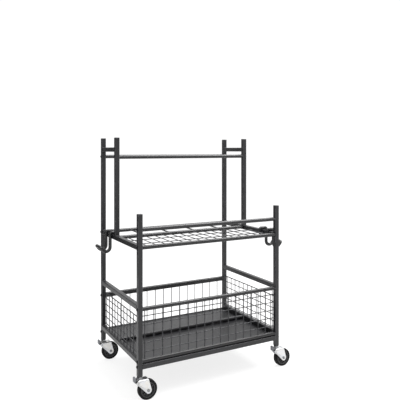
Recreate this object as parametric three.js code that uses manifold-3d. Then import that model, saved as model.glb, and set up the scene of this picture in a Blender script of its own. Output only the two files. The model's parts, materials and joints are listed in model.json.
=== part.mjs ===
// Rolling garden tool rack: a bolted frame of square and round steel tube on four braked
// casters, with a wire basket at the foot, a wire shelf at the front, a tall open bay for
// long handles at the back, and a hook that slides along each side rail.
// Millimetres, +Z up, +Y towards the back of the rack, +X to the right.
import * as THREE from "three";
import { mergeVertices } from "three/addons/utils/BufferGeometryUtils.js";
import Module from "manifold-3d";

const wasm = await Module();
wasm.setup();

// Frame, measured between the centres of the posts
const frameWidth = 640;
const frameDepth = 435;
const shelfDepth = 255;

// Tube
const squareSide = 19;
const squareWall = 1.2;
const squareCorner = 2.2;
const roundRadius = 8;
const roundWall = 1.2;
const roundSides = 12;

// Wire and rods
const wireThickness = 3;
const borderThickness = 4;
const wireBite = 0.6;
const dividerRadius = 3;
const dividerSides = 8;

// Fits
const seatGap = 0.3;
const runningGap = 0.3;

// Heights of the rail centres above the lower ends of the posts
const baseRailHeight = 33.5;
const basketFrontRailHeight = 250;
const basketBackRailHeight = 197.5;
const basketBorderHeight = 213;
const shelfRailHeight = 483.5;
const topRailHeight = 823.5;

// Rises: of the basket's side rails over its border wires, of the guard rail over the shelf
// rails, of the front posts over the guard rail, of the top side rails over the top rails, and
// of the rear posts over the top side rails
const basketSideRailRise = 43;
const guardRailRise = 68;
const frontPostRise = 56.5;
const topSideRailRise = 31.5;
const rearPostRise = 48;

// Wire spacing. The highest cross wire lies a drop below the top of its panel, the lowest a lift
// above its foot, and the others between them.
const frontUprights = 17;
const frontUprightInset = 21;
const frontCrossWires = 5;
const frontCrossDrop = 27.6;
const frontCrossLift = 33.1;
const sideUprights = 11;
const sideNetInset = 4;
const sideCrossWires = 5;
const sideCrossDrop = 25.2;
const sideCrossLift = 11.2;
const backUprights = 14;
const deckUprights = 15;
const deckCrossWires = 2;
const dividerCount = 4;

// Floor sheet of the basket
const sheetThickness = 1.2;
const sheetInset = 2;

// Post caps
const capThickness = 3;
const capPlugLength = 12;

// Casters
const wheelRadius = 38;
const wheelSides = 20;
const wheelWidth = 23;
const hubWidth = 25.4;
const hubRadius = 10.5;
const rimRadius = 29;
const webThickness = 19;
const rimSlope = 3;
const treadShoulder = 4.5;
const axleRadius = 4;
const axleSides = 12;
const boltHeadRadius = 6.5;
const boltHeadHeight = 4;
const hexSides = 6;
const trail = 31;
const crownClearance = 3.7;
const forkSheet = 2.5;
const forkGap = 26;
const forkEndRadius = 12;
const forkNose = 20;
const forkNoseDrop = 9;
const crownNose = 15.5;
const crownChamfer = 6.5;
const raceRadius = 15;
const raceThickness = 3.5;
const shoulderRadius = 8;
const shoulderHeight = 5;
const kingpinRadius = 4.5;
const rivetRadius = 7;
const rivetHeight = 2;
const stemRadius = 5;
const stemLength = 34;
const stemSides = 12;
const socketFlangeRadius = 13;
const socketFlange = 4;
const socketLength = 36;
const socketSides = 12;

// Brake pedal, placed from the swivel axis and the axle
const pedalWidth = 17;
const pedalPivotAhead = 9;
const pedalPivotRise = 33;
const pedalPinRadius = 2.5;
const pedalHubRadius = 4.2;
const pedalShoeRadius = 4;
const pedalShoeReach = 3;
const pedalShoeDrop = 9;
const pedalBar = 5;
const pedalNose = 25.5;
const pedalPadLength = 8.5;
const pedalPadHeight = 7.5;
const pedalPadRadius = 3;
const pedalPadClearance = 3.5;
const pedalPinStub = 1;
const pedalSides = 8;

// Side hooks of bent rod, which hang over the shelf's side rails
const hookRodRadius = 5.5;
const hookRodSides = 8;
const hookSpread = 57;
const hookSideGap = 0.5;
const hookInnerDrop = 12;
const hookDrop = 62;
const hookReach = 46;
const hookCurl = 18;
const hookArmAngle = (50 * Math.PI) / 180;
const hookBend = 8;
const hookTipBend = 8;
const leftHookPlace = 318.5;
const rightHookPlace = 69.5;

// Sizes that follow from the ones above
const clearWidth = frameWidth - squareSide;
const clearDepth = frameDepth - squareSide;
const basketSideRailHeight = basketBorderHeight + basketSideRailRise;
const guardRailHeight = shelfRailHeight + guardRailRise;
const topSideRailHeight = topRailHeight + topSideRailRise;
const frontPostLength = guardRailHeight + frontPostRise;
const rearPostLength = topSideRailHeight + rearPostRise;
const roundFlat = roundRadius * Math.cos(Math.PI / roundSides);
const crownUnder = 2 * wheelRadius + crownClearance;
const crownTop = crownUnder + forkSheet;
const raceUnder = crownTop + runningGap;
const shoulderUnder = raceUnder + raceThickness;
const flangeUnder = shoulderUnder + shoulderHeight;
const postFoot = flangeUnder + socketFlange;
const floorTop = baseRailHeight + squareSide / 2 + sheetThickness;
const footRailHeight = floorTop + seatGap + roundRadius;
const baseSideRailHeight = floorTop + seatGap + squareSide / 2;
const backNetFoot = floorTop + seatGap + borderThickness / 2;
const sideNetFoot = baseSideRailHeight + squareSide / 2 + seatGap;
const left = -frameWidth / 2;
const right = frameWidth / 2;
const front = -frameDepth / 2;
const back = frameDepth / 2;
const middle = front + shelfDepth;

// Finishes
const powderCoat = new THREE.MeshStandardMaterial({ color: "#4a4a4d", roughness: 0.45, metalness: 0.5 });
const wireCoat = new THREE.MeshStandardMaterial({ color: "#3b3b3d", roughness: 0.5, metalness: 0.4 });
const hookCoat = new THREE.MeshStandardMaterial({ color: "#2c2c2e", roughness: 0.55, metalness: 0.2 });
const blackPlastic = new THREE.MeshStandardMaterial({ color: "#1c1c1e", roughness: 0.6, metalness: 0 });
const greyPlastic = new THREE.MeshStandardMaterial({ color: "#47484b", roughness: 0.5, metalness: 0 });
const zincPlate = new THREE.MeshStandardMaterial({ color: "#d8dadd", roughness: 0.3, metalness: 0.9 });
const blackRubber = new THREE.MeshStandardMaterial({ color: "#171718", roughness: 0.8, metalness: 0 });

// Solids

function toSolid(geometry) {
  const bare = geometry.clone();
  bare.deleteAttribute("normal");
  bare.deleteAttribute("uv");
  const merged = mergeVertices(bare);
  return new wasm.Manifold(new wasm.Mesh({
    numProp: 3,
    vertProperties: new Float32Array(merged.attributes.position.array),
    triVerts: new Uint32Array(merged.index.array),
  }));
}

function toGeometry(solid) {
  const mesh = solid.getMesh();
  const geometry = new THREE.BufferGeometry();
  geometry.setAttribute("position", new THREE.BufferAttribute(mesh.vertProperties, mesh.numProp));
  geometry.setIndex(new THREE.BufferAttribute(mesh.triVerts, 1));
  geometry.computeVertexNormals();
  return geometry;
}

// Joins closed geometries that reach into each other into one closed body.
function weld(geometries) {
  return toGeometry(geometries.map(toSolid).reduce((body, piece) => body.add(piece)));
}

function box(width, depth, height, x, y, z) {
  return new THREE.BoxGeometry(width, depth, height).translate(x, y, z);
}

// Outlines are drawn in the XY plane and raised along Z.
function raise(shape, height, arcSteps) {
  return new THREE.ExtrudeGeometry(shape, { depth: height, bevelEnabled: false, curveSegments: arcSteps });
}

// An outline drawn in X and Z becomes a plate that is centred on the XZ plane.
function raiseSideways(shape, width, arcSteps) {
  return raise(shape, width, arcSteps).rotateX(Math.PI / 2).translate(0, width / 2, 0);
}

function roundedRectangle(width, height, corner) {
  const x = width / 2 - corner;
  const y = height / 2 - corner;
  const shape = new THREE.Shape();
  shape.absarc(x, y, corner, 0, Math.PI / 2);
  shape.absarc(-x, y, corner, Math.PI / 2, Math.PI);
  shape.absarc(-x, -y, corner, Math.PI, 1.5 * Math.PI);
  shape.absarc(x, -y, corner, 1.5 * Math.PI, 2 * Math.PI);
  return shape;
}

function rectangle(width, height) {
  const corners = [[1, 1], [-1, 1], [-1, -1], [1, -1]];
  return new THREE.Shape(corners.map(([x, y]) => new THREE.Vector2((x * width) / 2, (y * height) / 2)));
}

// A regular outline with a flat on each axis, whose corners lie on the radius.
function polygon(radius, sides) {
  const corners = Array.from({ length: sides }, (_, i) => {
    const angle = ((i + 0.5) * 2 * Math.PI) / sides;
    return new THREE.Vector2(radius * Math.cos(angle), radius * Math.sin(angle));
  });
  return new THREE.Shape(corners);
}

// A hole whose flats, and not its corners, lie on the radius, so that a round pin clears it.
function holeOutline(radius, sides) {
  return polygon(radius / Math.cos(Math.PI / sides), sides);
}

const cornerSteps = 1;

// Square tube, open at both ends, upright from zero.
function squareTube(length) {
  const outline = roundedRectangle(squareSide, squareSide, squareCorner);
  const bore = squareSide - 2 * squareWall;
  outline.holes.push(rectangle(bore, bore));
  return raise(outline, length, cornerSteps);
}

// Round tube, open at both ends, upright from zero.
function roundTube(length) {
  const outline = polygon(roundRadius, roundSides);
  outline.holes.push(polygon(roundRadius - roundWall, roundSides));
  return raise(outline, length);
}

// Turns an upright tube to lie along X or Y, centred on the origin.
function alongX(tube, length) {
  return tube.rotateY(Math.PI / 2).translate(-length / 2, 0, 0);
}

function alongY(tube, length) {
  return tube.rotateX(-Math.PI / 2).translate(0, -length / 2, 0);
}

// Frame pieces

function postCap() {
  const bore = squareSide - 2 * squareWall;
  const plugSide = bore - 2 * seatGap;
  const top = raise(roundedRectangle(squareSide, squareSide, squareCorner), capThickness, cornerSteps);
  const plug = raise(rectangle(plugSide, plugSide), capPlugLength + capThickness / 2);
  return weld([top, plug.translate(0, 0, -capPlugLength)]);
}

// Places of equally spaced wires, centred on zero.
function spaced(count, pitch) {
  return Array.from({ length: count }, (_, i) => (i - (count - 1) / 2) * pitch);
}

// Heights of the cross wires of a panel, from the lowest to the highest.
function crossHeights(count, lift, highest) {
  const pitch = (highest - lift) / (count - 1);
  return Array.from({ length: count }, (_, i) => lift + i * pitch);
}

// What a panel can have along its foot and its top, with how far it reaches from its centre.
const roundBar = {
  make: (span) => alongX(roundTube(span), span),
  reach: roundFlat,
};
const squareBar = {
  make: (span) => alongX(squareTube(span), span),
  reach: squareSide / 2,
};
const borderWire = {
  make: (span) => box(span, borderThickness, borderThickness, 0, 0, 0),
  reach: borderThickness / 2,
};

// A welded panel in the XZ plane that rises from zero: upright wires, cross wires on the inner
// side (+Y), a bar at the top and, unless the wires end bare, a bar at the foot.
function wirePanel({ span, height, uprights, crossings, topBar, footBar }) {
  const lowest = footBar ? footBar.reach - wireBite : 0;
  const length = height - topBar.reach + wireBite - lowest;
  const pieces = [topBar.make(span).translate(0, 0, height)];
  if (footBar) {
    pieces.push(footBar.make(span));
  }
  for (const x of uprights) {
    pieces.push(box(wireThickness, wireThickness, length, x, 0, lowest + length / 2));
  }
  for (const z of crossings) {
    pieces.push(box(span, wireThickness, wireThickness, 0, wireThickness - wireBite, z));
  }
  return weld(pieces);
}

function frontPanel() {
  const pitch = (frameWidth - 2 * frontUprightInset) / (frontUprights - 1);
  const height = basketFrontRailHeight - footRailHeight;
  return wirePanel({
    span: clearWidth,
    height,
    uprights: spaced(frontUprights, pitch),
    crossings: crossHeights(frontCrossWires, frontCrossLift, height - frontCrossDrop),
    topBar: roundBar,
    footBar: roundBar,
  });
}

// The back is low and has upright wires only, under a square rail.
function backPanel() {
  return wirePanel({
    span: clearWidth,
    height: basketBackRailHeight - backNetFoot,
    uprights: spaced(backUprights, frameWidth / (backUprights + 1)),
    crossings: [],
    topBar: squareBar,
    footBar: borderWire,
  });
}

// A side's net stands on the base side rail and ends in a border wire.
function sidePanel() {
  const height = basketBorderHeight - sideNetFoot;
  return wirePanel({
    span: clearDepth,
    height,
    uprights: spaced(sideUprights, frameDepth / (sideUprights + 1)),
    crossings: crossHeights(sideCrossWires, sideCrossLift, height - sideCrossDrop),
    topBar: borderWire,
  });
}

// The shelf is a panel of the same make that lies flat, its cross wires underneath.
function shelfDeck() {
  const crossPitch = shelfDepth / (deckCrossWires + 1);
  return wirePanel({
    span: clearWidth,
    height: shelfDepth,
    uprights: spaced(deckUprights, frameWidth / (deckUprights + 1)),
    crossings: crossHeights(deckCrossWires, crossPitch, shelfDepth - crossPitch),
    topBar: roundBar,
    footBar: roundBar,
  });
}

// Rail at the back of the shelf level, with rods that reach forward to the shelf's rear rail
// and part the long handles.
function dividerRack() {
  const reach = frameDepth - shelfDepth;
  const length = reach - 2 * roundFlat + wireBite;
  const pieces = [alongX(roundTube(clearWidth), clearWidth)];
  for (const x of spaced(dividerCount, frameWidth / (dividerCount + 1))) {
    const rod = alongY(raise(polygon(dividerRadius, dividerSides), length), length);
    pieces.push(rod.translate(x, wireBite - roundFlat - length / 2, 0));
  }
  return weld(pieces);
}

// Floor sheet with a notch round each post. It lies on the front and back base rails, and the
// base side rails lie on it.
function floorSheet() {
  const x = frameWidth / 2 - sheetInset;
  const y = frameDepth / 2 - sheetInset;
  const notchX = clearWidth / 2 - seatGap;
  const notchY = clearDepth / 2 - seatGap;
  const corners = [
    [notchX, -y], [notchX, -notchY], [x, -notchY],
    [x, notchY], [notchX, notchY], [notchX, y],
    [-notchX, y], [-notchX, notchY], [-x, notchY],
    [-x, -notchY], [-notchX, -notchY], [-notchX, -y],
  ];
  return raise(new THREE.Shape(corners.map(([cx, cy]) => new THREE.Vector2(cx, cy))), sheetThickness);
}

// Caster pieces, placed from the foot of the swivel axis on the floor. The wheel trails in +X.

function wheel() {
  const widen = 1 / Math.cos(Math.PI / wheelSides);
  const half = [
    [axleRadius + runningGap, hubWidth / 2],
    [hubRadius, hubWidth / 2],
    [hubRadius + rimSlope, webThickness / 2],
    [rimRadius, webThickness / 2],
    [rimRadius + rimSlope, wheelWidth / 2],
    [wheelRadius, wheelWidth / 2 - treadShoulder],
  ];
  const mirrored = half.map(([radius, side]) => [radius, -side]).reverse();
  const profile = [...half, ...mirrored, half[0]];
  const points = profile.map(([radius, side]) => new THREE.Vector2(radius * widen, -side));
  const halfStep = Math.PI / wheelSides;
  return new THREE.LatheGeometry(points, wheelSides, halfStep).translate(trail, 0, wheelRadius);
}

function axleBolt() {
  const forkWidth = forkGap + 2 * forkSheet;
  const length = forkWidth + boltHeadHeight;
  const shank = raiseSideways(polygon(axleRadius, axleSides), length);
  const head = raiseSideways(polygon(boltHeadRadius, hexSides), boltHeadHeight);
  const headPlace = (forkWidth + boltHeadHeight) / 2;
  const nut = head.clone().translate(0, headPlace, 0);
  return weld([shank, head.translate(0, -headPlace, 0), nut]).translate(trail, 0, wheelRadius);
}

function forkLeg() {
  const shape = new THREE.Shape();
  shape.moveTo(trail, crownTop);
  shape.lineTo(crownChamfer - crownNose, crownTop);
  shape.lineTo(-forkNose, crownTop - forkNoseDrop);
  shape.absarc(trail, wheelRadius, forkEndRadius, 1.25 * Math.PI, 2.08 * Math.PI);
  const axleHole = holeOutline(axleRadius + seatGap, axleSides).getPoints();
  const pinHole = holeOutline(pedalPinRadius + runningGap, axleSides).getPoints();
  shape.holes.push(new THREE.Path(axleHole.map((p) => p.add(new THREE.Vector2(trail, wheelRadius)))));
  const pivot = new THREE.Vector2(-pedalPivotAhead, wheelRadius + pedalPivotRise);
  shape.holes.push(new THREE.Path(pinHole.map((p) => p.add(pivot))));
  const legSteps = 3;
  return raiseSideways(shape, forkSheet, legSteps);
}

// Crown plate round the kingpin, with the two legs bent down at its sides.
function fork() {
  const halfWidth = forkGap / 2 + forkSheet;
  const corners = [
    [trail, halfWidth], [crownChamfer - crownNose, halfWidth], [-crownNose, halfWidth - crownChamfer],
    [-crownNose, crownChamfer - halfWidth], [crownChamfer - crownNose, -halfWidth], [trail, -halfWidth],
  ];
  const plate = new THREE.Shape(corners.map(([x, y]) => new THREE.Vector2(x, y)));
  plate.holes.push(holeOutline(kingpinRadius + runningGap, stemSides));
  const legPlace = (forkGap + forkSheet) / 2;
  return weld([
    raise(plate, forkSheet).translate(0, 0, crownUnder),
    forkLeg().translate(0, -legPlace, 0),
    forkLeg().translate(0, legPlace, 0),
  ]);
}

// Stem, hexagonal in the real caster and turned here, with the upper race and the kingpin that
// is riveted over under the crown.
function stem() {
  const profile = [
    [0, crownUnder - runningGap - rivetHeight],
    [rivetRadius, crownUnder - runningGap - rivetHeight],
    [rivetRadius, crownUnder - runningGap],
    [kingpinRadius, crownUnder - runningGap],
    [kingpinRadius, raceUnder],
    [raceRadius, raceUnder],
    [shoulderRadius, shoulderUnder],
    [shoulderRadius, flangeUnder],
    [stemRadius, flangeUnder],
    [stemRadius, flangeUnder + stemLength],
    [0, flangeUnder + stemLength],
  ];
  const points = profile.map(([radius, height]) => new THREE.Vector2(radius, height));
  return new THREE.LatheGeometry(points, stemSides).rotateX(Math.PI / 2);
}

// Plastic socket that is driven into the foot of a post and takes the stem.
function socket() {
  const side = squareSide - 2 * squareWall - 2 * seatGap;
  const flange = polygon(socketFlangeRadius, socketSides);
  const sleeve = rectangle(side, side);
  for (const outline of [flange, sleeve]) {
    outline.holes.push(holeOutline(stemRadius + seatGap, stemSides));
  }
  const overlap = socketFlange / 2;
  return weld([
    raise(flange, socketFlange).translate(0, 0, flangeUnder),
    raise(sleeve, socketLength + overlap).translate(0, 0, postFoot - overlap),
  ]);
}

// Foot pedal with its pivot pin between the fork legs and a shoe that nears the tyre.
function brakePedal() {
  const pivotX = -pedalPivotAhead;
  const pivotZ = wheelRadius + pedalPivotRise;
  const barUnder = pivotZ - pedalBar / 2;
  const padUnder = crownTop + pedalPadClearance;
  const barLength = pedalNose - pedalPivotAhead - pedalBar / 2;
  const pinLength = forkGap + 2 * forkSheet + 2 * pedalPinStub;
  const round = (radius, length) => raiseSideways(polygon(radius, pedalSides), length);
  const padOutline = roundedRectangle(pedalPadLength, pedalPadHeight, pedalPadRadius);
  const pad = raiseSideways(padOutline, pedalWidth, cornerSteps);
  const uprightHeight = padUnder + pedalPadHeight / 2 - barUnder;
  const uprightX = pedalBar / 2 - pedalNose + pedalPadRadius / 2;
  return weld([
    round(pedalHubRadius, pedalWidth).translate(pivotX, 0, pivotZ),
    round(pedalPinRadius, pinLength).translate(pivotX, 0, pivotZ),
    round(pedalShoeRadius, pedalWidth).translate(pivotX + pedalShoeReach, 0, pivotZ - pedalShoeDrop),
    box(pedalShoeRadius, pedalWidth, pedalShoeDrop, pivotX + pedalShoeReach / 2, 0, pivotZ - pedalShoeDrop / 2),
    box(barLength, pedalWidth, pedalBar, pivotX - barLength / 2, 0, pivotZ),
    box(pedalBar, pedalWidth, uprightHeight, uprightX, 0, barUnder + uprightHeight / 2),
    pad.translate(pedalPadLength / 2 - pedalNose, 0, padUnder + pedalPadHeight / 2),
  ]);
}

// Side hook

// A path whose sweep rings fall on the given points, so that straight runs take no rings.
class PointPath extends THREE.Curve {
  constructor(points) {
    super();
    this.points = points;
  }

  getPoint(t, target = new THREE.Vector3()) {
    const place = t * (this.points.length - 1);
    const index = Math.min(Math.floor(place), this.points.length - 2);
    return target.lerpVectors(this.points[index], this.points[index + 1], place - index);
  }

  getPointAt(t, target) {
    return this.getPoint(t, target);
  }

  getTangentAt(t, target) {
    return this.getTangent(t, target);
  }
}

// Points of an arc that rounds a corner of a bent rod.
function cornerArc(before, corner, after, radius, steps) {
  const inward = before.clone().sub(corner).normalize();
  const outward = after.clone().sub(corner).normalize();
  const halfAngle = inward.angleTo(outward) / 2;
  const toCentre = inward.clone().add(outward).normalize().multiplyScalar(radius / Math.sin(halfAngle));
  const centre = corner.clone().add(toCentre);
  const start = inward.multiplyScalar(radius / Math.tan(halfAngle)).add(corner).sub(centre);
  const end = outward.multiplyScalar(radius / Math.tan(halfAngle)).add(corner).sub(centre);
  const axis = start.clone().cross(end).normalize();
  const turn = start.angleTo(end);
  return Array.from({ length: steps + 1 }, (_, i) =>
    start.clone().applyAxisAngle(axis, (turn * i) / steps).add(centre));
}

// The rod runs up inside the rail, over it, down the outside, out and up in a curl, along the
// rack, and back the same way. side is -1 for the left of the rack and +1 for the right.
function hook(side) {
  const offset = squareSide / 2 + hookSideGap + hookRodRadius;
  const over = squareSide / 2 + seatGap + hookRodRadius;
  const curlCentre = hookCurl - hookDrop;
  const curlTop = hookCurl / Math.tan((Math.PI / 2 - hookArmAngle) / 2);
  const elbow = curlCentre - curlTop;
  const tip = elbow + hookReach * Math.tan(hookArmAngle);
  const bends = [
    { x: -offset, z: -hookInnerDrop },
    { x: -offset, z: over, radius: hookBend, steps: 3 },
    { x: offset, z: over, radius: hookBend, steps: 3 },
    { x: offset, z: elbow, radius: hookCurl, steps: 6 },
    { x: offset + hookReach, z: tip, radius: hookTipBend, steps: 3 },
  ];
  const leg = bends.map((bend) => ({
    ...bend,
    point: new THREE.Vector3(side * bend.x, -hookSpread / 2, bend.z),
  }));
  const opposite = leg.map((bend) => ({ ...bend, point: bend.point.clone().setY(hookSpread / 2) }));
  const route = [...leg, ...opposite.reverse()];
  const points = route.flatMap((bend, i) => {
    if (!bend.radius) return [bend.point];
    return cornerArc(route[i - 1].point, bend.point, route[i + 1].point, bend.radius, bend.steps);
  });
  return new THREE.ExtrudeGeometry(polygon(hookRodRadius, hookRodSides), {
    extrudePath: new PointPath(points),
    steps: points.length - 1,
  });
}

// Assembly

const rack = new THREE.Group();

function place(parent, name, geometry, material, x, y, z) {
  const mesh = new THREE.Mesh(geometry, material);
  mesh.name = name;
  mesh.position.set(x, y, z);
  parent.add(mesh);
  return mesh;
}

function addSquareRail(name, axis, length, x, y, height) {
  const lay = axis === "x" ? alongX : alongY;
  place(rack, name, lay(squareTube(length), length), powderCoat, x, y, postFoot + height);
}

function addRoundRail(name, length, y, height) {
  place(rack, name, alongX(roundTube(length), length), powderCoat, 0, y, postFoot + height);
}

const sides = [["left", left], ["right", right]];
const rows = [["front", front, frontPostLength], ["middle", middle, 0], ["back", back, rearPostLength]];

// The middle posts stand on the shelf's side rails, and the others on the casters.
const middlePostFoot = shelfRailHeight + squareSide / 2;

for (const [rowName, y, length] of rows) {
  for (const [sideName, x] of sides) {
    const label = `${rowName}_${sideName}`;
    const foot = rowName === "middle" ? middlePostFoot : 0;
    const postLength = rowName === "middle" ? rearPostLength - middlePostFoot : length;
    const under = postFoot + foot;
    place(rack, `post_${label}`, squareTube(postLength), powderCoat, x, y, under);
    place(rack, `post_cap_${label}`, postCap(), blackPlastic, x, y, under + postLength);
  }
}

for (const [sideName, x] of sides) {
  const topLength = frameDepth - shelfDepth - squareSide;
  addSquareRail(`base_rail_${sideName}`, "y", clearDepth, x, 0, baseSideRailHeight);
  addSquareRail(`basket_side_rail_${sideName}`, "y", clearDepth, x, 0, basketSideRailHeight);
  addSquareRail(`shelf_side_rail_${sideName}`, "y", clearDepth, x, 0, shelfRailHeight);
  addSquareRail(`top_side_rail_${sideName}`, "y", topLength, x, (middle + back) / 2, topSideRailHeight);
}

addSquareRail("base_rail_front", "x", clearWidth, 0, front, baseRailHeight);
addSquareRail("base_rail_back", "x", clearWidth, 0, back, baseRailHeight);
addRoundRail("basket_floor_crossbar", clearWidth - 2 * seatGap, middle, footRailHeight);
addRoundRail("guard_rail", clearWidth, front, guardRailHeight);
addRoundRail("top_rail_front", clearWidth, middle, topRailHeight);
addRoundRail("top_rail_back", clearWidth, back, topRailHeight);

const sheetUnder = postFoot + floorTop - sheetThickness;
place(rack, "basket_floor_sheet", floorSheet(), powderCoat, 0, 0, sheetUnder);
place(rack, "basket_front_panel", frontPanel(), wireCoat, 0, front, postFoot + footRailHeight);
const backNet = place(rack, "basket_back_panel", backPanel(), wireCoat, 0, back, postFoot + backNetFoot);
backNet.rotation.z = Math.PI;
for (const [sideName, x] of sides) {
  const inward = -Math.sign(x);
  const netX = x + inward * sideNetInset;
  const net = place(rack, `basket_${sideName}_panel`, sidePanel(), wireCoat, netX, 0, postFoot + sideNetFoot);
  net.rotation.z = (-inward * Math.PI) / 2;
}

const shelfHeight = postFoot + shelfRailHeight;
place(rack, "shelf_deck", shelfDeck(), wireCoat, 0, front, shelfHeight).rotation.x = -Math.PI / 2;
place(rack, "tool_divider_rack", dividerRack(), wireCoat, 0, back, shelfHeight);

place(rack, "side_hook_left", hook(-1), hookCoat, left, front + leftHookPlace, shelfHeight);
place(rack, "side_hook_right", hook(1), hookCoat, right, front + rightHookPlace, shelfHeight);

for (const [rowName, y] of rows.filter(([name]) => name !== "middle")) {
  for (const [sideName, x] of sides) {
    const caster = new THREE.Group();
    caster.position.set(x, y, 0);
    rack.add(caster);
    const label = `caster_${rowName}_${sideName}`;
    place(caster, `${label}_socket`, socket(), blackPlastic, 0, 0, 0);
    place(caster, `${label}_stem`, stem(), zincPlate, 0, 0, 0);
    place(caster, `${label}_fork`, fork(), zincPlate, 0, 0, 0);
    place(caster, `${label}_wheel`, wheel(), blackRubber, 0, 0, 0);
    place(caster, `${label}_axle`, axleBolt(), zincPlate, 0, 0, 0);
    place(caster, `${label}_brake_pedal`, brakePedal(), greyPlastic, 0, 0, 0);
  }
}

// The origin is on the floor at the middle of the outer box.
const bounds = new THREE.Box3().setFromObject(rack, true);
rack.position.set(-(bounds.min.x + bounds.max.x) / 2, -(bounds.min.y + bounds.max.y) / 2, -bounds.min.z);

export default rack;
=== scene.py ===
# Rolling garden tool rack: the finish of every piece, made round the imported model.
# Shapes are drawn in millimetres and turned to metres when a piece is made.
import json
import math

import bmesh
import bpy
from mathutils import Matrix, Vector, noise

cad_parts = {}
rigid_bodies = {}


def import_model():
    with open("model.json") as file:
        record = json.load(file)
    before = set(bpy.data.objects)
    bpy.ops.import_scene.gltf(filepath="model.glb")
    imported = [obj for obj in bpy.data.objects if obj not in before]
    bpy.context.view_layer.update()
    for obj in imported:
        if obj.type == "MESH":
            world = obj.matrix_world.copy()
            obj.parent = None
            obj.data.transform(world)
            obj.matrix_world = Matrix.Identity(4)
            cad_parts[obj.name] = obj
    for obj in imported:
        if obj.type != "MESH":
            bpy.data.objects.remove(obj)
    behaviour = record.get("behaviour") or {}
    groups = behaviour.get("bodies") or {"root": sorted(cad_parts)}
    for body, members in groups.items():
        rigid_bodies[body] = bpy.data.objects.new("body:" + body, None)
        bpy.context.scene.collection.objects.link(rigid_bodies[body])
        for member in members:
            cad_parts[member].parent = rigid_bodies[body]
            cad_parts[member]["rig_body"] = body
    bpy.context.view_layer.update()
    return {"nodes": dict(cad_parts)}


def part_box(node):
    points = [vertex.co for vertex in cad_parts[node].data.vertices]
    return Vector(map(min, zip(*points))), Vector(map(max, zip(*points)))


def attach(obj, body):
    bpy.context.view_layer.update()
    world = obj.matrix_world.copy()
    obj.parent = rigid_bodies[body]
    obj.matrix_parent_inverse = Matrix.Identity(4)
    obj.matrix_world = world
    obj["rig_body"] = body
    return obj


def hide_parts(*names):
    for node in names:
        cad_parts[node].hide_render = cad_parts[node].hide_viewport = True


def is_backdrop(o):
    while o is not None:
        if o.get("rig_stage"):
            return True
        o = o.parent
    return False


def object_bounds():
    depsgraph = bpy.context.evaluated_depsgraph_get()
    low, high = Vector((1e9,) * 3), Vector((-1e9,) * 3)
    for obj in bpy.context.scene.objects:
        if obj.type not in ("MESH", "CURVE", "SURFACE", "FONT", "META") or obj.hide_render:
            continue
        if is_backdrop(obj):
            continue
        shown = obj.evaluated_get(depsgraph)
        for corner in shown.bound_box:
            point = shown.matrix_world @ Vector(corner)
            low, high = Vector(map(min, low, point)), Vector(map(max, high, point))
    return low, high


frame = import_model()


# Square posts and rails
# Mild steel tube with rounded corners, cut to length, welded up into a left and a right frame
# and powder coated a satin charcoal. Two base rails of the same tube cross between the frames.

mm = 0.001
tube_wall = 1.2
tube_corner = 2.2
bore_corner = tube_corner - tube_wall
corner_steps = 3
flat_band = 0.5
end_band = 2.0
# Edges that turn more than this are marked; the mark gives wear, and on the powder coat also a painted edge
# highlight
sharp_edge_mark_turn = math.radians(25)
sharp_turn = math.radians(50)


def to_linear(code):
    """The linear colour, with alpha, of an sRGB hex value."""
    parts = [int(code[i:i + 2], 16) / 255 for i in (1, 3, 5)]
    return (*(c / 12.92 if c <= 0.04045 else ((c + 0.055) / 1.055) ** 2.4 for c in parts), 1.0)


def add(tree, kind, inputs, **settings):
    """Adds a shader node with its settings. An input is a value, a hex colour, a socket, or a
    node, which is linked by its first open output."""
    made = tree.nodes.new(f"ShaderNode{kind}")
    for setting, value in settings.items():
        setattr(made, setting, value)
    for socket, value in inputs.items():
        if isinstance(value, bpy.types.Node):
            value = next(output for output in value.outputs if output.enabled)
        if isinstance(value, bpy.types.NodeSocket):
            tree.links.new(value, made.inputs[socket])
        else:
            made.inputs[socket].default_value = to_linear(value) if isinstance(value, str) else value
    return made


def start_material(name):
    """A new material, its node tree and the piece's own coordinates in millimetres."""
    material = bpy.data.materials.new(name)
    material.use_nodes = True
    tree = material.node_tree
    tree.nodes.clear()
    spot = add(tree, "TexCoord", {}).outputs["Object"]
    place = add(tree, "VectorMath", {0: spot, 1: (1 / mm,) * 3}, operation="MULTIPLY")
    return material, tree, place


def end_material(tree, inputs):
    """Gives the tree its surface shader and its output."""
    add(tree, "OutputMaterial", {"Surface": add(tree, "BsdfPrincipled", inputs)})


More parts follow.
